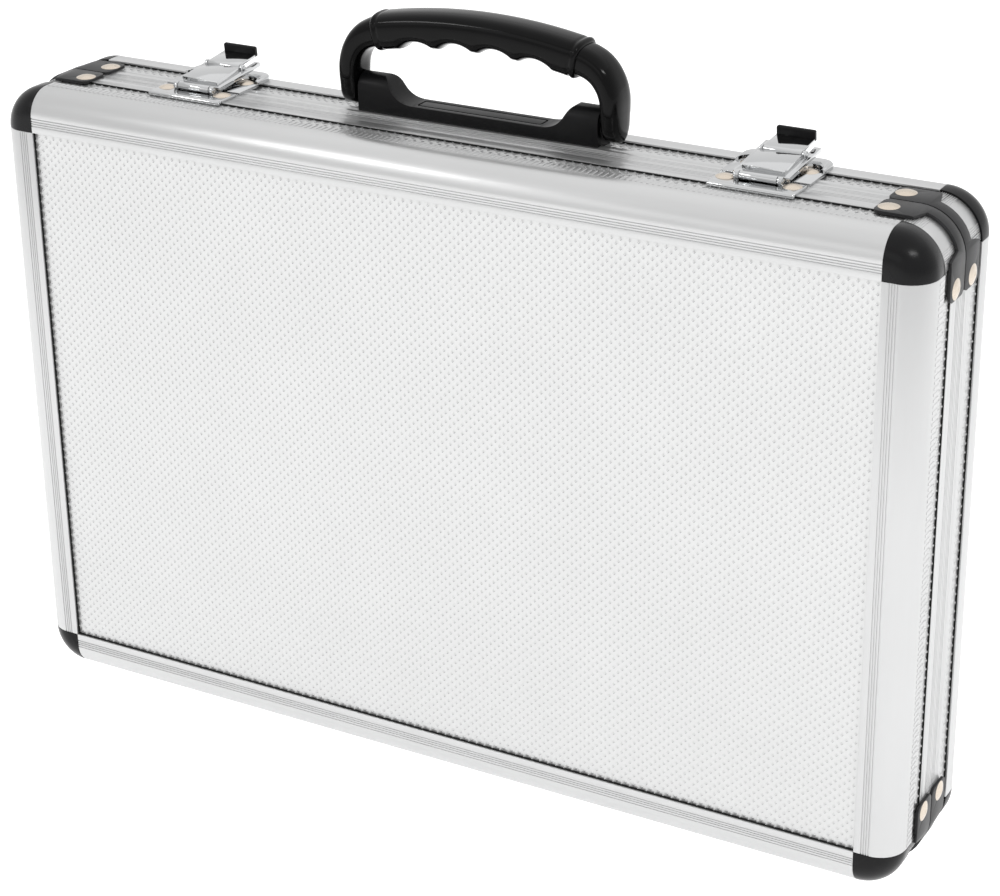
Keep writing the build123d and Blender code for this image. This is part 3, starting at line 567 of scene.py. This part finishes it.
# ------------------------------------------------------------------ foam linings
def lining(shell, body, side, crate):
    """Foam pad with rounded corners and borders. crate is the height of its egg-box waves, in
    metres, or 0 for a gently uneven flat pad."""
    low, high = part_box(f"{shell}_lining")
    half_x = (high[0] - low[0]) / 2
    half_z = (high[2] - low[2]) / 2
    mid_z = (high[2] + low[2]) / 2
    back = side * max(abs(low[1]), abs(high[1]))
    top = side * min(abs(low[1]), abs(high[1]))
    cols, rows = 169, 109
    corner, border, wave_length = 12.5 * MM, 7.0 * MM, 25.0 * MM
    clear, spare, swell = 0.4 * MM, 0.35 * MM, 0.35 * MM
    x = np.linspace(-half_x, half_x, cols)
    z = np.linspace(-half_z, half_z, rows)
    gx, gz = np.meshgrid(x, z)
    over_x = np.maximum(np.abs(gx) - (half_x - corner), 0)
    over_z = np.maximum(np.abs(gz) - (half_z - corner), 0)
    reach = np.hypot(over_x, over_z)
    pull = np.where(reach > corner, corner / np.maximum(reach, 1e-9), 1.0)
    px = np.sign(gx) * (np.minimum(np.abs(gx), half_x - corner) + over_x * pull)
    pz = np.sign(gz) * (np.minimum(np.abs(gz), half_z - corner) + over_z * pull)
    inset = np.minimum(half_x - np.abs(gx), half_z - np.abs(gz))
    ease = np.clip(inset / border, 0, 1)
    crown = np.sqrt(1 - (1 - ease) ** 2)
    wave = 0.5 + 0.5 * np.cos(2 * np.pi * gx / wave_length) * np.cos(2 * np.pi * gz / wave_length)
    puff = swell * (np.sin(gx * 31) * np.sin(gz * 27 + 1)) if crate == 0 else 0
    height = crown * (abs(top - back) - clear - crate * (1 - wave) + puff - spare)
    front = np.stack([px, back - side * height, pz + mid_z], 2).reshape(-1, 3)
    name = f"{shell}_lining_pad"
    mesh = mesh_of(name, front, quad_faces(rows, cols), close=True)
    pad = piece(name, mesh, body, "foam", 60.0)
    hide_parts(f"{shell}_lining")


# ------------------------------------------------------------------ handle
HANDLE_Y = (span("handle_base", 1)[0] + span("handle_base", 1)[1]) / 2
PIVOT_Z = (span("handle_pivot_pins", 2)[0] + span("handle_pivot_pins", 2)[1]) / 2
GRIP_RADIUS = 238.0 * MM                                   # of the arc along the grip
GRIP_THICK = 8.0                                           # half sizes of its section, in mm
GRIP_DEEP = 9.5
GRIP_CENTRE = span("handle_grip", 2)[1] - GRIP_THICK * MM
ARC_Z = GRIP_CENTRE - GRIP_RADIUS
GRIP_HALF = 48.5 * MM


def ring(centre, out, half_out, half_in, half_depth, power_out, power_in, count=40):
    """Closed section round a centre: out is the in-plane direction away from the hand gap. The
    two powers square its outer and inner halves, from 2, an ellipse, upwards."""
    t = 2 * np.pi * (np.arange(count) + 0.5) / count
    s, c = np.sin(t), np.cos(t)
    power = np.where(s > 0, power_out, power_in)
    reach = np.where(s > 0, half_out, half_in)
    across = np.sign(c) * np.abs(c) ** (2 / power) * half_depth
    rise = np.sign(s) * np.abs(s) ** (2 / power) * reach
    points = np.zeros((count, 3))
    points[:, 0] = centre[0] + out[0] * rise
    points[:, 1] = HANDLE_Y + across
    points[:, 2] = centre[1] + out[1] * rise
    return points


def loft(name, rings):
    """Closed mesh through rings of the same number of points."""
    count = len(rings[0])
    faces = []
    for near in range(0, (len(rings) - 1) * count, count):
        far = near + count
        faces += [(near + k, near + (k + 1) % count, far + (k + 1) % count, far + k)
                  for k in range(count)]
    faces.append(tuple(range(count)))
    faces.append(tuple((len(rings) - 1) * count + k for k in range(count)))
    return mesh_of(name, np.concatenate(rings), faces)


def spline(keys, per_span):
    """Smooth curve through key rows of any width."""
    keys = np.array(keys, float)
    rows = np.concatenate([[2 * keys[0] - keys[1]], keys, [2 * keys[-1] - keys[-2]]])
    out = []
    for k in range(1, len(rows) - 2):
        a, b, c, d = rows[k - 1:k + 3]
        for t in np.arange(per_span) / per_span:
            out.append(0.5 * (2 * b + (c - a) * t + (2 * a - 5 * b + 4 * c - d) * t ** 2
                              + (3 * b - a - 3 * c + d) * t ** 3))
    out.append(keys[-1])
    return np.array(out)


def grip():
    """The curved grip: four finger hollows below, and a collar at each end."""
    pitch, hollow, fingers = 19.7 * MM, 2.9 * MM, 4
    ridge = 0.07                                           # share of the pitch beside a hollow
    round_end, round_by, most = 0.5, 0.05, 0.2             # mm, share of the section, mm
    rings = []
    half_turn = math.asin(GRIP_HALF / GRIP_RADIUS)
    for turn in np.linspace(-half_turn, half_turn, 161):
        s = turn * GRIP_RADIUS
        phase = (s / pitch) % 1.0
        phase = min(max((phase - ridge) / (1 - 2 * ridge), 0.0), 1.0)
        dip = hollow * (1 - (2 * phase - 1) ** 2) if abs(s) < fingers / 2 * pitch else 0.0
        end = (GRIP_HALF - abs(s)) / MM
        collar = 0.03 * math.exp(-((end - 1.0) / 0.7) ** 2)
        neck = 0.035 * math.exp(-((end - 2.7) / 0.5) ** 2)
        swell = 1.0 + collar - neck
        if end < round_end:
            swell *= 1.0 - round_by * (1 - end / round_end)
        out = (math.sin(turn), math.cos(turn))
        centre = (GRIP_RADIUS * out[0], ARC_Z + GRIP_RADIUS * out[1])
        above = min(GRIP_THICK * swell, GRIP_THICK + most) * MM
        below = GRIP_THICK * MM * swell - dip
        rings.append(ring(centre, out, above, below, GRIP_DEEP * MM * swell, 2.9, 2.7, 48))
    mesh = loft("handle_grip.model", rings)
    made = piece("handle_grip.model", mesh, "handle", "gloss", 50.0)
    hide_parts("handle_grip")


def arms():
    """The two arms of the bail, each from the collar of the grip down round its pivot."""
    collar = GRIP_CENTRE / MM
    pivot = PIVOT_Z / MM
    square, per_span = 2.8, 5
    keys = [                                               # X, Z, half width, half depth, in mm
        (47.6, collar - 4.7, 6.5, 8.5),
        (50.6, collar - 5.5, 6.4, 8.5),
        (54.4, collar - 7.2, 6.1, 8.6),
        (57.9, collar - 10.2, 5.6, 8.7),
        (60.7, collar - 14.6, 5.1, 8.8),
        (62.2, collar - 19.6, 4.7, 8.9),
        (62.5, collar - 24.6, 4.5, 8.8),
        (62.5, pivot + 2.0, 4.45, 8.3),
        (62.5, pivot - 2.0, 4.4, 7.8),
        (62.5, pivot - 4.5, 4.3, 6.6),
        (62.5, pivot - 6.2, 4.1, 5.0),
        (62.5, pivot - 7.3, 3.8, 3.2),
        (62.5, pivot - 7.8, 3.3, 1.8),
    ]
    path = spline(keys, per_span) * MM
    direction = np.gradient(path[:, :2], axis=0)
    direction /= np.linalg.norm(direction, axis=1)[:, None]
    verts, faces = [], []
    for side in (-1, 1):
        rings = [ring((side * x, z), (-side * dz, dx), half, half, depth, square, square)
                 for (x, z, half, depth), (dx, dz) in zip(path, direction)]
        mesh = loft("arm", rings)
        base = len(verts)
        verts.extend([tuple(v.co) for v in mesh.vertices])
        faces.extend([tuple(base + k for k in p.vertices) for p in mesh.polygons])
        bpy.data.meshes.remove(mesh)
    mesh = mesh_of("handle_bail.model", verts, faces)
    made = piece("handle_bail.model", mesh, "handle", "gloss", 50.0)
    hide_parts("handle_bail")


# ------------------------------------------------------------------ put the case together
def shells():
    for shell in ("front", "rear"):
        for side in ("top", "bottom"):
            soften(f"{shell}_edge_{side}", 0.12, "edge_x")
            soften(f"{shell}_lip_{side}", 0.12, "edge_x")
        for side in ("left", "right"):
            soften(f"{shell}_edge_{side}", 0.12, "edge_z")
            soften(f"{shell}_lip_{side}", 0.12, "edge_z")
        for corner in CORNERS:
            soften(f"{shell}_cap_{corner}", 0.25, "cap")
        soften(f"{shell}_corner_arches", 0.08, "edge_x")
        soften(f"{shell}_corner_brackets", 0.3, "strap")
        cad(f"{shell}_wall_boards", "edge_x")
        soften(f"{shell}_rivets", 0.12, "nickel")
        soften(f"{shell}_feet", 0.5, "rubber")
    panels()
    strips()
    # thin black strips that paint the shadow in the gaps at the steps
    painted_shadow_gaps()
    flange_ribs()
    arch_ribs()
    for (shell, body, side), crate in zip(SHELLS, (4.0 * MM, 0.0)):
        lining(shell, body, side, crate)


LATCH_EASES = (("base_plate", 0.2), ("catch_plate", 0.2), ("hasp", 0.55), ("flap", 0.4),
               ("hinge_pin", 0.15), ("flap_pin", 0.2))


def hardware():
    soften("handle_base", 0.7, "matte", segments=3)
    soften("handle_pivot_pins", 0.2, "steel")
    for name in ("hinge_lid_leaves", "hinge_base_leaves", "hinge_pins"):
        soften(name, 0.15, "steel")
    for side in ("left", "right"):
        for name, width in LATCH_EASES:
            soften(f"latch_{side}_{name}", width, "chrome")
        soften(f"latch_{side}_tab", 0.85, "matte", segments=3)
    latch_rolls()
    grip()
    arms()


# ------------------------------------------------------------------ stage, lights and camera
FLOOR_HALF = 9.0
FLOOR_LEVEL = -0.066
FLOOR_CELLS = 24
FLOOR_GLOW = 0.45


def stage():
    """Pale light table, set low enough for the lid to swing down past the standing case."""
    steps = [FLOOR_HALF * (2 * i / FLOOR_CELLS - 1) for i in range(FLOOR_CELLS + 1)]
    mesh = bpy.data.meshes.new("floor")
    mesh.from_pydata([(x, y, FLOOR_LEVEL) for y in steps for x in steps], [],
                     quad_faces(len(steps), len(steps)))
    floor = show("floor", mesh)
    node = Nodes("floor_paper")
    tone = node.noise(3.0, 2.0)
    node.set(Base_Color=node.colours(tone, [(0.3, (0.90,) * 3), (0.7, (0.92,) * 3)]), Roughness=0.9)
    node.set(Emission_Color=(1.0, 1.0, 1.0, 1.0), Emission_Strength=FLOOR_GLOW)
    mesh.materials.append(node.mat)


SKY_RANGE = {"From Min": -0.5, "From Max": 0.55, "To Min": 0.82, "To Max": 1.0}


def world():
    """Bright surroundings, a little dimmer on the side of the camera than behind the case."""
    made = bpy.data.worlds.new("studio")
    bpy.context.scene.world = made
    made.use_nodes = True
    tree = made.node_tree
    back = tree.nodes["Background"]
    coords = tree.nodes.new("ShaderNodeTexCoord")
    split = tree.nodes.new("ShaderNodeSeparateXYZ")
    tree.links.new(coords.outputs["Generated"], split.inputs["Vector"])
    ramp = tree.nodes.new("ShaderNodeMapRange")
    ramp.interpolation_type = "SMOOTHSTEP"
    for socket, value in SKY_RANGE.items():
        ramp.inputs[socket].default_value = value
    tree.links.new(split.outputs["Y"], ramp.inputs["Value"])
    tree.links.new(ramp.outputs["Result"], back.inputs["Color"])
    back.inputs["Strength"].default_value = 1.0


# name, place and target in metres, width and height in metres, power in watts
SOFTBOXES = (
    ("overhead", (0.0, 0.3, 2.6), (0, 0.3, 0), (5.0, 5.0), 20.0),
    ("key", (1.17, -0.56, 1.40), (0, 0, 0.15), (0.6, 0.14), 4.5),
    ("front", (-0.4, -1.9, 1.1), (-0.1, -0.5, 0.0), (2.2, 0.7), 2.5),
    ("left", (-1.1, -1.2, 1.3), (0, 0, 0.15), (0.5, 0.12), 3.0),
)


def softboxes():
    for name, place, target, size, power in SOFTBOXES:
        data = bpy.data.lights.new(name, "AREA")
        data.shape = "RECTANGLE"
        data.size, data.size_y = size
        data.energy = power
        lamp = show(name, data)
        lamp.location = place
        look = Vector(target) - Vector(place)
        lamp.rotation_euler = look.to_track_quat("-Z", "Y").to_euler()


CAMERA_PLACE = (0.53043, -0.90501, 0.62610)
CAMERA_RIGHT = (0.871357, 0.490465, -0.013494)
CAMERA_DOWN = (0.192526, -0.367079, -0.910048)
CAMERA_FORWARD = (-0.451300, 0.790378, -0.414284)


def camera():
    """The camera at the photograph's viewing angle."""
    data = bpy.data.cameras.new("camera")
    data.sensor_width = 36.0
    data.lens = 94.71
    data.clip_start = 0.05
    data.clip_end = 40.0
    cam = show("camera", data)
    axes = Matrix((Vector(CAMERA_RIGHT), -Vector(CAMERA_DOWN), -Vector(CAMERA_FORWARD)))
    cam.matrix_world = Matrix.Translation(CAMERA_PLACE) @ axes.transposed().to_4x4()
    bpy.context.scene.camera = cam


shells()
hardware()
stage()
world()
softboxes()
camera()
bpy.context.scene.view_settings.view_transform = "Standard"
